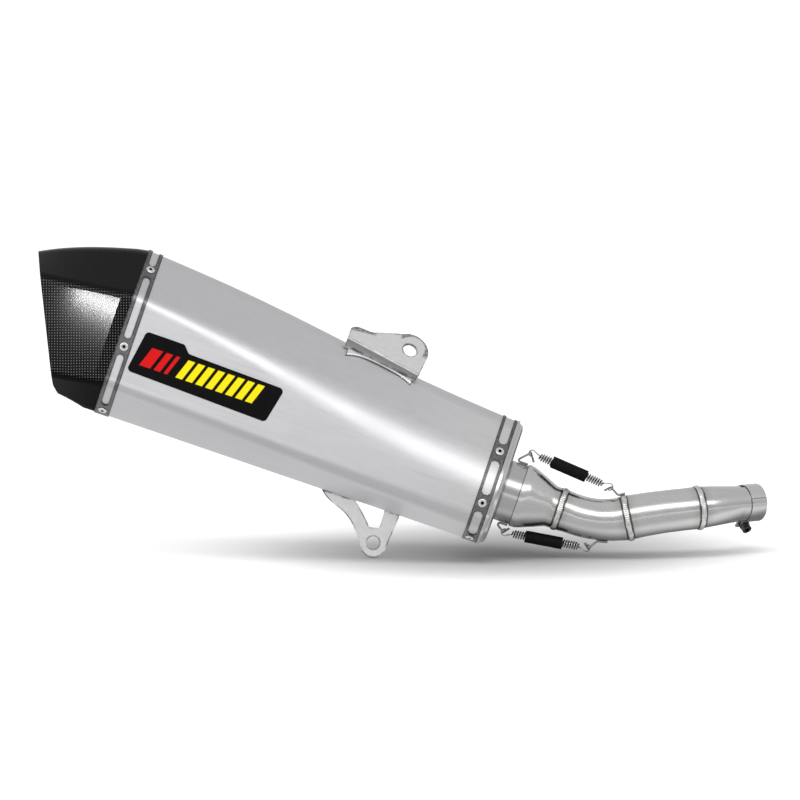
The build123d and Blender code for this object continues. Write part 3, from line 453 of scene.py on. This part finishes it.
def rivet_finish():
    """Bright rivets with painted shade in their mandrel holes."""
    finish = brushed("rivet_metal", (0.8, 0.8, 0.81), 0.22, (500, 500, 500), 0.06, 0.01 * MM, 0.08)
    clear = finish.between(finish.openness(3.4 * MM), 0.4, 0.85)
    finish.set(Base_Color=finish.mix(clear, (0.004, 0.004, 0.004), finish.tone))
    return finish.material


def spring_finish():
    """Plated spring wire, with painted shade on the inside of the coils."""
    finish = brushed("spring_wire", (0.5, 0.5, 0.5), 0.2, (900, 900, 900), 0.08, 0.006 * MM, 0.06)
    clear = finish.between(finish.openness(10 * MM), 0.5, 0.82)
    finish.set(Base_Color=finish.mix(clear, (0.01, 0.01, 0.011), finish.tone))
    return finish.material


def cover_finish():
    """The pressed front cover: polished steel, with painted shade in its corners."""
    finish = brushed("cover_steel", (0.62, 0.62, 0.625), 0.2, (500, 500, 500), 0.03, 0.005 * MM, 0.06)
    finish.set(Base_Color=finish.mix(finish.corners(5 * MM, 0.85), finish.tone, (0.03, 0.03, 0.03)))
    return finish.material


def rear_rim(finish, spot):
    """The sloping rear stretch of the upper bracket's rim, where a painted shade line runs."""
    low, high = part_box("upper_bracket")
    from_rear = finish.less(spot["X"], low.x + 8 * MM)
    under = finish.less(high.z, finish.add(spot["Z"], finish.times(from_rear, 0.25)))
    return finish.times(finish.between(under, 2 * MM, 4 * MM, 1.0, 0.0),
                        finish.between(from_rear, 24 * MM, 27 * MM, 1.0, 0.0))


def eye_rim(finish, spot):
    """The rim round the upper and front side of the upper bracket's eye, where a painted shade line runs.
    """
    _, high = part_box("upper_bracket")
    out_x = finish.less(spot["X"], high.x - EYE_BACK)
    out_z = finish.less(spot["Z"], high.z - EYE_DROP)
    flat_x = finish.times(out_x, EYE_STRETCH[0])
    flat_z = finish.times(out_z, EYE_STRETCH[1])
    squares = finish.add(finish.times(flat_x, flat_x), finish.times(flat_z, flat_z))
    outer = finish.between(finish.math("SQRT", squares), 15.2 * MM, 17.6 * MM)
    upper = finish.between(finish.add(finish.times(out_x, 0.5), out_z), -4 * MM, 1 * MM)
    return finish.times(finish.times(outer, upper), finish.between(out_x, -11 * MM, -7 * MM))


def fold_shade(finish, rise):
    """Shade on the web under the upper bracket's fold, strongest just below it."""
    fall = finish.times(finish.less(finish.back(), FOLD[0]), FOLD[2])
    depth = finish.less(finish.less(FOLD[1], fall), rise)
    shade = finish.times(finish.between(depth, 0.4 * MM, 1.8 * MM),
                         finish.between(depth, 3 * MM, 15 * MM, 0.78, 0.35))
    return finish.times(shade, finish.between(rise, 0, 10 * MM))


def bracket_finish():
    """Satin steel with painted shade: broken dark lines on its cut edges and the upper bracket's rims, and
    darker below the upper bracket's fold.
    """
    finish = brushed("bracket_steel", (0.82, 0.82, 0.825), 0.36, (350, 350, 350), 0.05, 0.02 * MM, 0.06)
    patchiness = finish.noise(55, detail=4, roughness=0.7, vector=finish.place)
    # Painted shade: broken dark lines along the cut edges and the upper bracket's rims, then painted shade
    # under the fold.
    line = finish.times(finish.edges(2.5 * MM, 2.6 * MM), finish.between(patchiness, 0.38, 0.56))
    spot = finish.split()
    rise = finish.rise()
    rims = finish.math("MAXIMUM", rear_rim(finish, spot), eye_rim(finish, spot))
    rims = finish.times(rims, finish.between(rise, 60 * MM, 70 * MM))
    specks = finish.noise(420, detail=4, roughness=0.7, vector=finish.place)
    flecked = finish.times(rims, finish.between(specks, 0.4, 0.6, 0.45, 1.0))
    line = finish.math("MAXIMUM", line, flecked)
    tone = finish.mix(finish.times(line, 0.9), finish.tone, (0.05, 0.05, 0.052))
    finish.set(Base_Color=finish.mix(fold_shade(finish, rise), tone, (0.09, 0.09, 0.092)))
    return finish.material


def pad_finish():
    """Ground bright steel with dark scuffs and a painted shade line round its edges."""
    finish = brushed("pad_steel", (0.95, 0.95, 0.955), 0.3, (350, 350, 350), 0.05, 0.02 * MM, 0.05)
    patchiness = finish.noise(300, detail=4, roughness=0.7, vector=finish.place)
    scuffs = finish.times(finish.between(patchiness, 0.35, 0.6, 1.0, 0.0), 0.12)
    line = finish.math("MAXIMUM", finish.edges(1.3 * MM, 2.2 * MM), scuffs)
    finish.set(Base_Color=finish.mix(finish.times(line, 0.9), finish.tone, (0.04, 0.04, 0.04)))
    return finish.material


def clamp_finish():
    """Polished clamp strip, with painted shade in its slots, laps and corners."""
    finish = brushed("clamp_steel", (0.66, 0.66, 0.66), 0.24, (500, 500, 500), 0.05, 0.01 * MM, 0.06)
    finish.set(Base_Color=finish.mix(finish.corners(3 * MM, 0.95), finish.tone, (0.02, 0.02, 0.02)))
    return finish.material


def hook_finish():
    """Dull hook wire, with painted shade where it meets the metal it is welded to."""
    finish = brushed("hook_wire", (0.3, 0.3, 0.3), 0.24, (900, 900, 900), 0.15, 0.01 * MM, 0.15)
    finish.set(Base_Color=finish.mix(finish.corners(5 * MM, 0.9), finish.tone, (0.02, 0.02, 0.02)))
    return finish.material


def soot_finish():
    """The tailpipe: brushed outside, with soft brown-black soot towards its mouth."""
    finish = brushed("sooted_steel", (0.4, 0.385, 0.37), 0.36, (8, 500, 500), 0.08, 0.03 * MM, 0.15)
    rear = min(point.dot(AXIS) for point in points_of("outlet_tube"))
    along = finish.dot(finish.place, AXIS)
    cloud = finish.times(finish.noise(70, detail=4), 40 * MM)
    soot = finish.between(finish.add(along, cloud), rear + 10 * MM, rear + 70 * MM, 0.8, 0.35)
    tone = finish.mix(soot, finish.tone, (0.028, 0.025, 0.022))
    finish.set(Base_Color=tone, Roughness=finish.add(finish.rough, finish.times(soot, 0.3)))
    return finish.material


def wool_finish():
    """Packing fibre."""
    finish = Finish("packing_fibre", metallic=0.0)
    strands = finish.noise((200, 1500, 1500), detail=5, roughness=0.7)
    tone = finish.mix(finish.between(strands, 0.3, 0.7), (0.5, 0.44, 0.3), (0.85, 0.8, 0.65))
    finish.set(Base_Color=tone, Roughness=0.9)
    finish.bump(strands, 0.8 * MM)
    return finish.material


def floor_finish():
    """Pale, faintly mottled paper, with a painted shadow in a soft dark spot under the object, glowing away
    from it.
    """
    finish = Finish("studio_floor", metallic=0.0)
    mottle = finish.noise(40, detail=4, vector=finish.place)
    tone = finish.mix(finish.between(mottle, 0.3, 0.7), (0.93, 0.93, 0.93), (0.955, 0.955, 0.955))
    away = finish.vector_math("SUBTRACT", finish.place, SHADOW_MIDDLE)
    spread = finish.vector_math("MULTIPLY", away.outputs[0], (1 / SHADOW_REACH[0], 1 / SHADOW_REACH[1], 0))
    distance = finish.vector_math("LENGTH", spread.outputs[0]).outputs["Value"]
    glow = finish.between(distance, 0.6, 1.5, 0.0, FLOOR_GLOW)
    # Painted shadow: the floor's tone darkens in a soft spot under the object.
    deep = finish.between(distance, 0.0, 1.15, SHADOW_DEPTH, 0.0)
    tone = finish.mix(deep, tone, (0.1, 0.1, 0.1))
    finish.set(Base_Color=tone, Roughness=0.85, Specular_IOR_Level=0.1)
    finish.set(Emission_Color=(1, 1, 1), Emission_Strength=glow)
    return finish.material


# ---------------------------------------------------------------- mesh helpers
def mesh_object(name, vertices, faces, smooth=True):
    mesh = bpy.data.meshes.new(name)
    mesh.from_pydata([tuple(vertex) for vertex in vertices], [], faces)
    mesh.validate()
    mesh.update()
    for polygon in mesh.polygons:
        polygon.use_smooth = smooth
    made = bpy.data.objects.new(name, mesh)
    bpy.context.scene.collection.objects.link(made)
    return made


def grid_faces(rows, columns, wrap_rows=False):
    """Quads over a grid of vertices whose columns close on themselves."""
    faces = []
    for row in range(rows if wrap_rows else rows - 1):
        after = (row + 1) % rows
        for column in range(columns):
            beside = (column + 1) % columns
            faces.append((row * columns + column, row * columns + beside,
                          after * columns + beside, after * columns + column))
    return faces


def swept_wire(name, path, radius, sides=WIRE_SIDES):
    """Round wire along a path, with flat caps at its ends."""
    directions = []
    for index in range(len(path)):
        before = path[max(index - 1, 0)]
        after = path[min(index + 1, len(path) - 1)]
        directions.append((after - before).normalized())
    side = directions[0].orthogonal().normalized()
    vertices = []
    for place, towards in zip(path, directions):
        side = (side - towards * side.dot(towards)).normalized()
        other = towards.cross(side)
        for step in range(sides):
            turn = 2 * math.pi * step / sides
            vertices.append(place + (side * math.cos(turn) + other * math.sin(turn)) * radius)
    faces = grid_faces(len(path), sides)
    faces.append(tuple(reversed(range(sides))))
    faces.append(tuple(range(len(vertices) - sides, len(vertices))))
    return mesh_object(name, vertices, faces)


def rings(name, start, along, profile, sides, wobble):
    """A closed surface round an axis: profile is a closed loop of (distance, radius), wobble adds to it."""
    side = along.orthogonal().normalized()
    other = along.cross(side)
    vertices = []
    for distance, radius in profile:
        for step in range(sides):
            turn = 2 * math.pi * step / sides
            out = side * math.cos(turn) + other * math.sin(turn)
            vertices.append(start + along * distance + out * (radius + wobble(distance, turn)))
    return mesh_object(name, vertices, grid_faces(len(profile), sides, wrap_rows=True))


def give(piece, material):
    piece.data.materials.clear()
    piece.data.materials.append(material)


# ---------------------------------------------------------------- springs and their rubber
def spring_path(start, end, side):
    """The wire of one spring: a hook round each crossbar, narrowing ends and the coil."""
    along = (end - start).normalized()
    third = along.cross(side)
    coil = (end - start).length - 2 * COIL_LEG
    turns = round(coil / COIL_PITCH)
    steps = turns * TURN_STEPS

    def hook(tip, inwards):
        """From the free end round the crossbar to where the leg leaves for the coil."""
        centre = tip + inwards * (HOOK_R - CROSSBAR_R - WIRE_R)
        arc = []
        for step in range(HOOK_STEPS + 1):
            turn = math.radians(HOOK_ARC * (step / HOOK_STEPS - 0.5))
            arc.append(centre - inwards * (HOOK_R * math.cos(turn)) + side * (HOOK_R * math.sin(turn)))
        return arc

    path = hook(start, along)
    rise = []
    for step in range(steps + 1):
        share = step / steps
        turn = 2 * math.pi * turns * share
        ends = min(share, 1 - share) * turns / COIL_NARROWING_TURNS
        swell = math.sin(min(ends, 1) * math.pi / 2)
        radius = COIL_END_R + (COIL_R - COIL_END_R) * swell
        place = start + along * (COIL_LEG + coil * share)
        rise.append(place + side * (radius * math.cos(turn)) + third * (radius * math.sin(turn)))
    leg_in = smooth_link(path[-2], path[-1], rise[0], rise[1])
    far = hook(end, -along)
    far.reverse()
    leg_out = smooth_link(rise[-2], rise[-1], far[0], far[1])
    return path + leg_in + rise + leg_out + far


def smooth_link(before, start, end, after, count=7):
    """Points of a curve that leaves start and meets end in the directions of their neighbours."""
    reach = (end - start).length
    first = start + (start - before).normalized() * reach * 0.35
    second = end - (after - end).normalized() * reach * 0.35
    points = []
    for step in range(1, count):
        t = step / count
        points.append(start * (1 - t) ** 3 + first * 3 * t * (1 - t) ** 2
                      + second * 3 * t * t * (1 - t) + end * t ** 3)
    return points


def make_spring(name, side_hint):
    start = crossbar("muffler_hook_" + name)
    end = crossbar("pipe_hook_" + name)
    along = (end - start).normalized()
    side = (side_hint - along * side_hint.dot(along)).normalized()
    piece = swept_wire("tension_spring_" + name, spring_path(start, end, side), WIRE_R)
    give(piece, spring_metal)
    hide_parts("spring_" + name)
    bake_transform(piece)


def make_rubber(name):
    """A rubber tube, a little uneven along its length, with eased ends."""
    low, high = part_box("spring_sleeve_" + name)
    start = crossbar("muffler_hook_" + name)
    end = crossbar("pipe_hook_" + name)
    along = (end - start).normalized()
    middle = (low + high) / 2
    points = points_of("spring_sleeve_" + name)
    half = max((point - middle).dot(along) for point in points)
    outer = max((point - middle).cross(along).length for point in points)
    inner = min((point - middle).cross(along).length for point in points) + RUBBER_EASE
    ease = RUBBER_ROUND
    outer -= RUBBER_SKIN
    straight = 2 * half - 2 * ease
    profile = [(-half, outer - ease), (-half + ease * 0.3, outer - ease * 0.3)]
    profile += [(-half + ease + straight * step / RUBBER_RINGS, outer) for step in range(RUBBER_RINGS + 1)]
    profile += [(half - ease * 0.3, outer - ease * 0.3), (half, outer - ease)]
    profile += [(half, inner), (-half, inner)]
    shifts = random.Random(name)
    phases = [shifts.uniform(0, 6.28) for _ in range(4)]

    def wobble(distance, turn):
        wave = math.sin(distance * 330 + phases[0]) * math.cos(turn + phases[1])
        wave += 0.6 * math.sin(distance * 710 + phases[2]) * math.cos(2 * turn + phases[3])
        return wave * RUBBER_WAVE

    piece = rings("rubber_tube_" + name, middle, along, profile, RUBBER_SIDES, wobble)
    give(piece, rubber)
    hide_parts("spring_sleeve_" + name)
    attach(piece, name + "_rubber")


# ---------------------------------------------------------------- weld beads
def make_bead(name):
    """A rippled weld bead: overlapping crescents round the pipe."""
    centre, axis, radius = ring_of(name)
    base = radius - BEAD_RISE - BEAD_SINK
    side = axis.orthogonal().normalized()
    other = axis.cross(side)
    around = BEAD_RIPPLES * RIPPLE_STEPS
    waver = random.Random(name)
    phases = [waver.uniform(0, 6.28) for _ in range(3)]
    vertices = []
    for step in range(around):
        turn = 2 * math.pi * step / around
        drift = 0.25 * MM * math.sin(3 * turn + phases[0]) + 0.15 * MM * math.sin(7 * turn + phases[1])
        width = BEAD_HALF * (1 + 0.07 * math.sin(11 * turn + phases[2]))
        out = side * math.cos(turn) + other * math.sin(turn)
        for cut in range(BEAD_STEPS + 1):
            across = -1 + 2 * cut / BEAD_STEPS
            ripple = (turn * BEAD_RIPPLES / (2 * math.pi) + 0.45 * across * across) % 1
            scallop = 0.68 + 0.32 * math.sin(math.pi * ripple)
            height = (radius - base) * math.sqrt(max(0, 1 - across * across)) * scallop
            vertices.append(centre + axis * (drift + across * width) + out * (base + height))
        vertices.append(centre + axis * drift + out * (base - BEAD_FOOT))
    columns = BEAD_STEPS + 2
    piece = mesh_object("rippled_" + name, vertices, grid_faces(around, columns, wrap_rows=True))
    give(piece, weld_metal)
    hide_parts(name)
    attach(piece, "link_pipe")


# ---------------------------------------------------------------- finishes on their nodes
sleeve_metal = sleeve_finish()
band_metal = band_finish()
rivet_metal = rivet_finish()
carbon = carbon_finish()
cover_metal = cover_finish()
pipe_metal = pipe_finish("stainless_tube", (0.64, 0.637, 0.635), 0.22)
collar_metal = pipe_finish("inlet_tube", (0.54, 0.538, 0.536), 0.22)
bracket_metal = bracket_finish()
pad_metal = pad_finish()
wire_metal = hook_finish()
spring_metal = spring_finish()
zinc = brushed("zinc_plate", (0.15, 0.15, 0.155), 0.18, (600, 600, 600), 0.12, 0.02 * MM, 0.15).material
clamp_metal = clamp_finish()
plate = brushed("end_plate_steel", (0.36, 0.35, 0.34), 0.38, (300, 300, 300), 0.1, 0.03 * MM, 0.15)
plate_metal = plate.material
soot_metal = soot_finish()
weld_metal = weld_finish()
rubber = rubber_finish()
badge = badge_finish()
wool = wool_finish()

NODE_FINISHES = {
    "outer_sleeve": sleeve_metal,
    "rear_trim_band": band_metal,
    "front_trim_band": band_metal,
    "rear_band_rivets": rivet_metal,
    "front_band_rivets": rivet_metal,
    "carbon_end_cap": carbon,
    "rear_end_plate": plate_metal,
    "outlet_tube": soot_metal,
    "noise_insert": soot_metal,
    "insert_screw": zinc,
    "front_cap": cover_metal,
    "inlet_collar": collar_metal,
    "front_baffle": plate_metal,
    "core_bush": plate_metal,
    "perforated_core": plate_metal,
    "absorption_wool": wool,
    "badge_plate": badge,
    "upper_bracket": bracket_metal,
    "upper_bracket_pad": pad_metal,
    "lower_bracket": bracket_metal,
    "muffler_hook_upper": wire_metal,
    "muffler_hook_lower": wire_metal,
    "pipe_hook_upper": wire_metal,
    "pipe_hook_lower": wire_metal,
    "link_spigot": pipe_metal,
    "link_cone": pipe_metal,
    "link_elbow": pipe_metal,
    "link_mid_pipe": pipe_metal,
    "link_taper_pipe": pipe_metal,
    "header_socket": pipe_metal,
    "clamp_band": clamp_metal,
    "clamp_bush": clamp_metal,
    "clamp_washer": zinc,
    "clamp_bolt": zinc,
    "clamp_nut": zinc,
}
for node_name, finish_material in NODE_FINISHES.items():
    give(nodes[node_name], finish_material)

for spring_name, hint in (("upper", Vector((0, 0, 1))), ("lower", Vector((0, 0, -1)))):
    make_spring(spring_name, hint)
    make_rubber(spring_name)
for bead_name in BEADS:
    make_bead(bead_name)


# ---------------------------------------------------------------- studio
VIEW_DISTANCE = 20.0
VIEW_WIDTH = 0.84
VIEW_RISE = math.radians(1.5)
FLOOR_RISE = math.radians(7)
VIEW_AIM_X = -0.3749
VIEW_AIM_Z = 0.1087
LOOK = Vector((0, math.cos(VIEW_RISE), -math.sin(VIEW_RISE)))
FLOOR_HALF = 30.0
# The painted shadow on the floor: its middle, reach and depth, and the floor's glow away from it.
SHADOW_MIDDLE = Vector((-0.265, 0.01, 0))
SHADOW_REACH = (0.26, 0.21)
SHADOW_DEPTH = 0.64
FLOOR_GLOW = 0.42

# The sky's brightness at each height, from straight down to straight up.
SKY = ((-1.0, 0.55), (-0.1, 0.52), (0.1, 0.52), (0.4, 0.72), (0.62, 0.68), (0.8, 0.64), (1.0, 0.7))

# The card that only reflections show, which paints light and shade into them: its size, how bright it is in
# front and further back, and how dark its painted shadow under the pipe is.
CARD_HALF = 1.5
CARD_FRONT = -0.5
CARD_BACK = 1.0
CARD_GLOW = (0.57, 0.92)
CARD_DARK = 0.8

# The glare on the cap: its panels' distance and direction from the cap, and their roll.
GLARE = Vector((-0.290, -0.954, 0.073)) * 2.5
GLARE_ROLL = -22

low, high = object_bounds()
middle = (low + high) / 2


def sky():
    """Soft grey studio surroundings, brighter overhead than at eye level and below."""
    world = bpy.data.worlds.new("studio")
    world.use_nodes = True
    bpy.context.scene.world = world
    tree = world.node_tree
    tree.nodes.clear()
    coordinates = tree.nodes.new("ShaderNodeTexCoord")
    split = tree.nodes.new("ShaderNodeSeparateXYZ")
    ramp = tree.nodes.new("ShaderNodeValToRGB")
    background = tree.nodes.new("ShaderNodeBackground")
    output = tree.nodes.new("ShaderNodeOutputWorld")
    shift = tree.nodes.new("ShaderNodeMapRange")
    tree.links.new(coordinates.outputs["Generated"], split.inputs[0])
    tree.links.new(split.outputs["Z"], shift.inputs["Value"])
    shift.inputs["From Min"].default_value = -1
    tree.links.new(shift.outputs["Result"], ramp.inputs[0])
    tree.links.new(ramp.outputs[0], background.inputs[0])
    tree.links.new(background.outputs[0], output.inputs[0])
    stops = ramp.color_ramp.elements
    for height, _ in SKY[1:-1]:
        stops.new((height + 1) / 2)
    for stop, (_, level) in zip(stops, SKY):
        stop.color = (level, level, level, 1)


def lit_only(light, pieces):
    """Keeps a light to these pieces."""
    group = bpy.data.collections.new(light.name + "_receivers")
    for piece in pieces:
        group.objects.link(piece)
    light.light_linking.receiver_collection = group


def panel(name, place, target, width, height, power):
    """A rectangular soft light that faces a point."""
    data = bpy.data.lights.new(name, "AREA")
    data.shape = "RECTANGLE"
    data.size = width
    data.size_y = height
    data.energy = power
    light = bpy.data.objects.new(name, data)
    light.location = place
    light.rotation_euler = (Vector(target) - Vector(place)).to_track_quat("-Z", "Y").to_euler()
    bpy.context.scene.collection.objects.link(light)
    return light


def raised(distance, elevation, side=0.0):
    """A place at this distance from the object's middle, in front of it where the distance is positive."""
    climb = math.radians(elevation)
    return middle + Vector((side, -distance * math.cos(climb), abs(distance) * math.sin(climb)))


def sloping_sheet(name, half, front, back, level):
    """A flat sheet that rises behind the object, at this level in the object's own plane."""
    low_edge, high_edge = (level + reach * math.tan(FLOOR_RISE) for reach in (front, back))
    corners = [(-half, middle.y + front, low_edge), (half, middle.y + front, low_edge),
               (half, middle.y + back, high_edge), (-half, middle.y + back, high_edge)]
    return mesh_object(name, corners, [(0, 1, 2, 3)], smooth=False)


def floor(level):
    """A pale floor just under the object's lowest point, which rises gently behind it."""
    made = sloping_sheet("studio_floor", FLOOR_HALF, -FLOOR_HALF, FLOOR_HALF, level)
    give(made, floor_finish())
    return made


def reflected_card(level):
    """A card at floor level that only reflections show.

    It paints light and shade into reflections: grey in front of the object, brighter behind it, and with a
    painted shadow under the pipe.
    """
    card = sloping_sheet("reflected_card", CARD_HALF, CARD_FRONT, CARD_BACK, level)
    finish = Finish("reflected_card", metallic=0.0)
    spot = finish.split()
    # Painted shadow of the pipe on the floor, seen only in reflections.
    pipe_line = finish.between(spot["X"], -0.2, 0.0, -0.04, 0.0)
    dark = finish.times(finish.between(finish.less(spot["Y"], pipe_line), -0.05, 0.0, 0.0, CARD_DARK),
                        finish.between(spot["X"], -0.33, -0.27, 0.25, 1.0))
    glow = finish.times(finish.between(spot["Y"], -0.1, -0.062, *CARD_GLOW), finish.less(1.0, dark))
    mottle = finish.noise(30, detail=3, vector=finish.place)
    finish.set(Base_Color=finish.mix(mottle, (0.02, 0.02, 0.02), (0.03, 0.03, 0.03)), Roughness=0.9)
    finish.set(Emission_Color=(1, 1, 1), Emission_Strength=glow)
    give(card, finish.material)
    card.visible_camera = False
    card.visible_diffuse = False
    card.visible_shadow = False


def make_camera():
    data = bpy.data.cameras.new("camera")
    data.sensor_width = 36
    data.lens = data.sensor_width * VIEW_DISTANCE / VIEW_WIDTH
    data.clip_start = 0.1
    data.clip_end = 100
    camera = bpy.data.objects.new("camera", data)
    camera.location = Vector((VIEW_AIM_X, middle.y, VIEW_AIM_Z)) - LOOK * VIEW_DISTANCE
    camera.rotation_euler = LOOK.to_track_quat("-Z", "Y").to_euler()
    bpy.context.scene.collection.objects.link(camera)
    bpy.context.scene.camera = camera


object_pieces = [piece for piece in bpy.context.scene.objects if piece.type == "MESH"]
ground = floor(low.z - 0.5 * MM)
sky()
cap_low, cap_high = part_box("carbon_end_cap")
cap_spot = Vector((cap_low.x + 58 * MM, cap_low.y, cap_high.z - 52 * MM))
core = panel("glare_panel", cap_spot + GLARE - Vector((0.024, 0, -0.005)), cap_spot, 0.085, 0.012, 1.15)
core.rotation_euler.rotate_axis("Z", math.radians(GLARE_ROLL))
panel("glare_fade_panel", cap_spot + GLARE - Vector((-0.01, 0, 0.012)), cap_spot, 0.03, 0.028, 0.16)
lit_only(panel("strip_panel", raised(2.2, 29), middle, 5.0, 0.8, 24), object_pieces)
lit_only(panel("floor_panel", raised(2.2, 65), middle, 1.6, 1.0, 18), [ground])
reflected_card(low.z + 2 * MM)
make_camera()
bpy.context.scene.view_settings.view_transform = "Standard"
